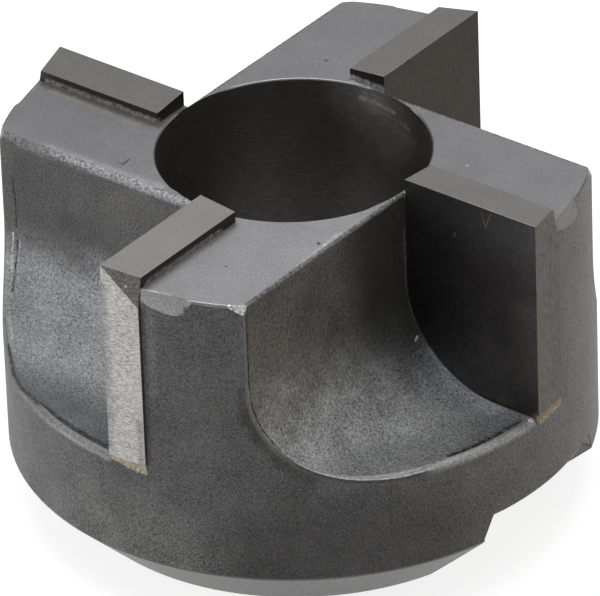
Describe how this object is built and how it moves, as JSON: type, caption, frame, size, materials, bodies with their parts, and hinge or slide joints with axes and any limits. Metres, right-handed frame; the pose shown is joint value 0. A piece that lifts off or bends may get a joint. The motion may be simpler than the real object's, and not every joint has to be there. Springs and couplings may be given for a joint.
{
  "type": "reverse spotfacer",
  "caption": "Round back spotfacing cutter: dark steel body with a central bore, curved chip gullets and a cross drive slot in its back, carbide tips brazed to its wings.",
  "frame": {"origin": "centre of the bore at the flat back face", "axes": "+Z along the bore axis, towards the cutting side; +X along the wing of carbide_tip_1, whose leading face looks towards -Y"},
  "size_m": [0.0556, 0.0556, 0.0362],
  "materials": {
    "blackened_steel": "bead blasted and blackened, matt",
    "carbide": "sintered carbide, fine ground",
    "braze": "dull silver braze"
  },
  "bodies": {
    "root": {"body": "blackened_steel", "carbide_tip_1": "carbide", "carbide_tip_2": "carbide", "carbide_tip_3": "carbide", "carbide_tip_4": "carbide", "braze_seam_1": "braze", "braze_seam_2": "braze", "braze_seam_3": "braze", "braze_seam_4": "braze"}
  },
  "joints": []
}
